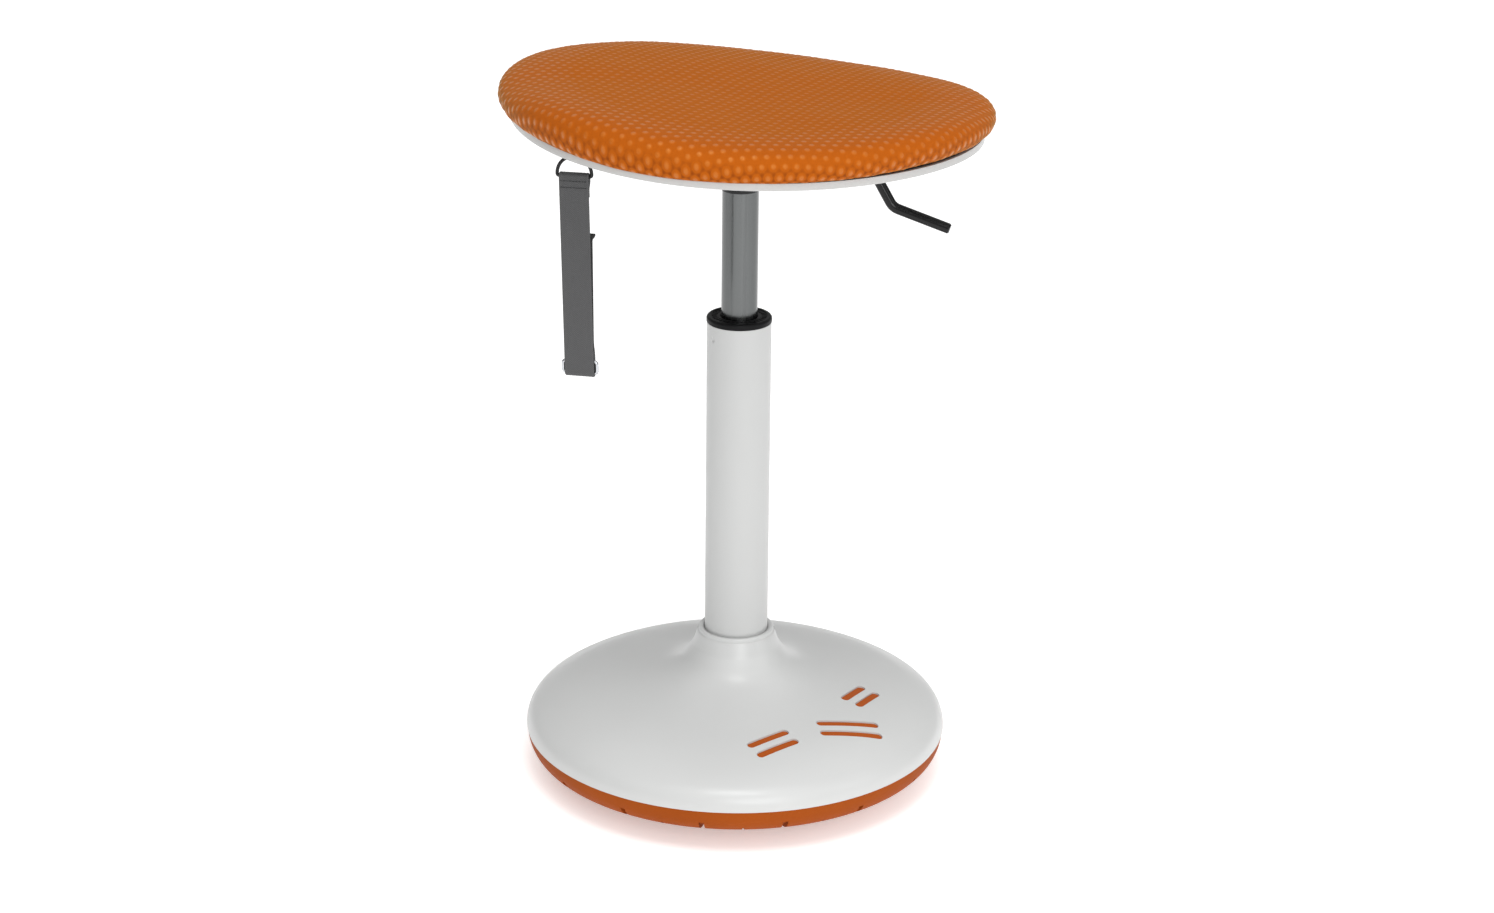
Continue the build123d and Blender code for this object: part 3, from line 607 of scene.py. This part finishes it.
def build_strap():
    L = strap_line()
    seg = np.sqrt((np.diff(L, axis=0) ** 2).sum(1))
    s = np.concatenate([[0], np.cumsum(seg)])
    t = np.gradient(L, axis=0)
    t /= np.linalg.norm(t, axis=1)[:, None]
    n = np.stack([t[:, 1], -t[:, 0]], 1)
    # section: rounded selvedges, a slightly thicker edge, faint length ribs
    xs = np.linspace(-1, 1, 31)
    half = STRAP_T / 2 - 0.00008
    prof = []
    for x in xs:
        k = math.sqrt(max(0.0, 1 - max(0, (abs(x) - 0.955) / 0.045) ** 2))
        rib = 0.00005 * math.cos(x * math.pi * 9)
        sel = 0.00005 if 0.86 < abs(x) < 0.95 else 0
        prof.append((x * STRAP_W / 2, max(0.00012, half * k + (rib + sel if abs(x) < 0.95 else 0))))
    ring = [(x, h) for x, h in prof] + [(x, -h) for x, h in prof[::-1]]
    vl, fl, uv = [], [], []
    m = len(ring)
    for i in range(len(L)):
        # the loose tail lies a little askew behind the front layer
        k = min(1.0, max(0.0, (L[i, 1] - 0.388) / (TAIL_Z - 0.388))) if L[i, 0] > -0.0015 and s[i] < 0.09 else 0.0
        skew = 0.0013 * k + 0.0022 * max(0.0, min(1.0, (L[i, 1] - TAIL_Z + 0.0045) / 0.0025)) if k > 0 else 0.0
        for j, (x, h) in enumerate(ring):
            y = L[i, 0] + n[i, 0] * h
            z = L[i, 1] + n[i, 1] * h
            vl.append(tuple(HANG @ Vector((x + skew, y, z))))
            uv.append((x, s[i]))
    for i in range(len(L) - 1):
        for j in range(m):
            k = (j + 1) % m
            fl.append((i * m + j, i * m + k, (i + 1) * m + k, (i + 1) * m + j))
    fl.append(tuple(range(m))[::-1])
    fl.append(tuple((len(L) - 1) * m + j for j in range(m)))
    me = bpy.data.meshes.new("strap_webbing")
    me.from_pydata(vl, [], fl)
    me.update()
    uvl = me.uv_layers.new(name="cloth")
    li = np.zeros(len(me.loops), int)
    me.loops.foreach_get("vertex_index", li)
    uvl.data.foreach_set("uv", np.array(uv, np.float32)[li].ravel())
    bm = bmesh.new()
    bm.from_mesh(me)
    bmesh.ops.recalc_face_normals(bm, faces=bm.faces)
    bm.to_mesh(me)
    bm.free()
    # the back layer takes the second material, a darker copy of the webbing as painted shade
    back = [1 if L[i, 0] > -0.0015 and s[i] < 0.09 else 0 for i in range(len(L) - 1)]
    me.polygons.foreach_set("material_index", np.array([back[i // m] if i < len(back) * m else back[0] if i == len(back) * m else 0 for i in range(len(me.polygons))], np.int32))
    for p in me.polygons:
        p.use_smooth = True
    o = bpy.data.objects.new("strap_webbing", me)
    bpy.context.scene.collection.objects.link(o)
    return o, float(s[-1])


def webbing_material(name="grey_webbing", dark=1.0):
    m = Mat(name)
    uv = m.node("ShaderNodeUVMap")
    uv.uv_map = "cloth"
    sp = m.node("ShaderNodeSeparateXYZ")
    m.link(uv.outputs[0], sp.inputs[0])
    # twill: diagonal ribs that switch direction in columns
    col = m.math("PINGPONG", sp.outputs[0], 0.0028)
    diag = m.math("SINE", m.math("MULTIPLY", m.math("ADD", sp.outputs[1], col), 2 * math.pi / 0.0014))
    yarn = m.math("SINE", m.math("MULTIPLY", sp.outputs[0], 2 * math.pi / 0.0007))
    fib = m.noise(3000.0, 3.0, 0.6, vec=uv.outputs[0])
    w = m.math("ADD", m.math("MULTIPLY", diag, 0.7), m.math("MULTIPLY", yarn, 0.3))
    c = m.ramp(m.map(w, -1, 1, 0, 1), [(0.0, scaled((0.052, 0.052, 0.053), dark)), (1.0, scaled((0.105, 0.105, 0.107), dark))])
    c = m.mix(m.map(m.noise(40.0, 3.0, vec=uv.outputs[0]), 0.3, 0.7, 0.0, 0.2), c, scaled((0.068, 0.068, 0.070), dark))
    m.col(c)
    m.rough(m.map(fib, 0.3, 0.7, 0.66, 0.82))
    m.nrm(m.bump(fib, 0.2, 0.00005, m.bump(w, 0.4, 0.00016)))
    m.set(**{"Sheen Weight": 0.12, "Sheen Roughness": 0.5, "Specular IOR Level": 0.2})
    return m.m


def tube(name, paths, radius, sides=8):
    """Closed capsule-like tubes along short point lists."""
    bm = bmesh.new()
    for pts in paths:
        pts = [Vector(p) for p in pts]
        rings = []
        for i, p in enumerate(pts):
            d = (pts[min(i + 1, len(pts) - 1)] - pts[max(i - 1, 0)]).normalized()
            a = d.orthogonal().normalized()
            b = d.cross(a)
            k = 0.45 if i in (0, len(pts) - 1) else 1.0
            rings.append([bm.verts.new(p + (a * math.cos(2 * math.pi * j / sides) + b * math.sin(2 * math.pi * j / sides)) * radius * k) for j in range(sides)])
        for r0, r1 in zip(rings, rings[1:]):
            for j in range(sides):
                bm.faces.new((r0[j], r0[(j + 1) % sides], r1[(j + 1) % sides], r1[j]))
        bm.faces.new(rings[0][::-1])
        bm.faces.new(rings[-1])
    bmesh.ops.recalc_face_normals(bm, faces=bm.faces)
    me = bpy.data.meshes.new(name)
    bm.to_mesh(me)
    bm.free()
    for p in me.polygons:
        p.use_smooth = True
    o = bpy.data.objects.new(name, me)
    bpy.context.scene.collection.objects.link(o)
    return o


strap, strap_len = build_strap()
strap.data.materials.append(webbing_material())
# painted shade: the back layer, behind the front layer, gets the webbing at 0.22 brightness
strap.data.materials.append(webbing_material("grey_webbing_painted_shade", 0.22))
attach(strap, "strap")
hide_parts("carry_strap")

cr = RING_WIRE + 0.0001 + STRAP_T / 2
stitches = []
yf = -cr - STRAP_T / 2 + 0.00005
for z in (0.5133, 0.5085):
    n = 9
    for i in range(n):
        x0 = -0.0102 + 0.0204 * i / n
        x1 = x0 + 0.0204 / n * 0.80
        stitches.append([(x0, yf + 0.0003, z), (x0 + 0.0002, yf - 0.00016, z), ((x0 + x1) / 2, yf - 0.0002, z), (x1 - 0.0002, yf - 0.00016, z), (x1, yf + 0.0003, z)])
thread = tube("strap_stitching", [[HANG @ Vector(p) for p in path] for path in stitches], 0.00028)
mt = Mat("dark_thread")
tn = mt.noise(5000.0, 2.0)
mt.col(mt.ramp(tn, [(0.3, (0.018, 0.018, 0.019)), (0.7, (0.04, 0.04, 0.042))]))
mt.rough(mt.map(tn, 0.3, 0.7, 0.5, 0.7))
mt.nrm(mt.bump(tn, 0.4, 0.00005))
thread.data.materials.append(mt.m)
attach(thread, "strap")

# ---------------------------------------------------------------- edges of the kept CAD parts
soften("seat_shell", 0.0024, 4, 40)
for n, w in (("guide_bush", 0.0004), ("taper_hub", 0.0006), ("mechanism_housing", 0.0004), ("strap_anchor", 0.0005), ("seat_screws", 0.0003),
             ("base_frame", 0.0005), ("ballast_ring", 0.0008), ("lever_rocker", 0.0006), ("inlay_left", 0.0003), ("inlay_centre", 0.0003), ("inlay_right", 0.0003)):
    soften(n, w)

# ---------------------------------------------------------------- floor, light, camera
def plane(name, size, z=0.0):
    me = bpy.data.meshes.new(name)
    s = size / 2
    me.from_pydata([(-s, -s, z), (s, -s, z), (s, s, z), (-s, s, z)], [], [(0, 1, 2, 3)])
    o = bpy.data.objects.new(name, me)
    bpy.context.scene.collection.objects.link(o)
    return o


floor = plane("studio_floor", 160.0, -0.0002)
fm = Mat("studio_floor_paint")
fn = fm.noise(3.0, 2.0)
fm.col(fm.ramp(fn, [(0.3, (0.93, 0.93, 0.93)), (0.7, (0.95, 0.95, 0.95))]))
fm.set(Roughness=0.75, **{"Specular IOR Level": 0.2, "Emission Color": (1, 1, 1, 1), "Emission Strength": 0.38})
floor.data.materials.append(fm.m)

world = bpy.data.worlds.new("studio")
world.use_nodes = True
bg = world.node_tree.nodes["Background"]
# a soft surround, dimmer to the left and right than in front, behind and above
wt = world.node_tree
wc = wt.nodes.new("ShaderNodeTexCoord")
ws = wt.nodes.new("ShaderNodeSeparateXYZ")
wa = wt.nodes.new("ShaderNodeMath")
wa.operation = "ABSOLUTE"
wm = wt.nodes.new("ShaderNodeMapRange")
for k, v in (("From Min", 0.45), ("From Max", 1.0), ("To Min", 1.0), ("To Max", 0.22)):
    wm.inputs[k].default_value = v
wt.links.new(wc.outputs["Generated"], ws.inputs[0])
wt.links.new(ws.outputs[0], wa.inputs[0])
wt.links.new(wa.outputs[0], wm.inputs["Value"])
wt.links.new(wm.outputs["Result"], bg.inputs[0])
bg.inputs[1].default_value = 0.52
bpy.context.scene.world = world


def area(name, loc, target, size, power, colour=(1, 1, 1), size_y=None):
    l = bpy.data.lights.new(name, "AREA")
    l.shape = "RECTANGLE"
    l.size, l.size_y = size, size_y or size
    l.energy = power
    l.color = colour
    o = bpy.data.objects.new(name, l)
    o.location = loc
    d = Vector(target) - Vector(loc)
    o.rotation_euler = d.to_track_quat("-Z", "Y").to_euler()
    bpy.context.scene.collection.objects.link(o)
    return o


area("key", (0.10, -1.15, 2.9), (0, 0, 0.3), 1.0, 22)
area("front", (0.65, -2.9, 1.45), (0, 0, 0.40), 1.4, 30)
area("fill", (2.3, -0.9, 1.2), (0, 0, 0.35), 1.2, 6)
sun_d = bpy.data.lights.new("overhead", "SUN")
sun_d.energy = 1.1
sun_d.angle = math.radians(100)
sun_o = bpy.data.objects.new("overhead", sun_d)
sun_o.rotation_euler = (math.radians(8), math.radians(4), 0)
bpy.context.scene.collection.objects.link(sun_o)

cam_d = bpy.data.cameras.new("camera")
cam_d.sensor_width = 36.0
cam_d.lens = 74.10
cam_o = bpy.data.objects.new("camera", cam_d)
bpy.context.scene.collection.objects.link(cam_o)
pitch, roll, yaw = 0.3632, 0.01169, 0.00549
fw = Vector((math.sin(yaw) * math.cos(pitch), math.cos(yaw) * math.cos(pitch), -math.sin(pitch)))
rt = Vector((math.cos(yaw), -math.sin(yaw), 0))
up = rt.cross(fw)
r2 = rt * math.cos(roll) + up * math.sin(roll)
u2 = -rt * math.sin(roll) + up * math.cos(roll)
M = Matrix.Identity(4)
for i in range(3):
    M[i][0], M[i][1], M[i][2] = r2[i], u2[i], -fw[i]
M.translation = Vector((-0.00516, -2.24780, 1.07952 + 0.038))
cam_o.matrix_world = M
bpy.context.scene.camera = cam_o
bpy.context.scene.view_settings.view_transform = "Standard"
bpy.context.scene.view_settings.look = "None"
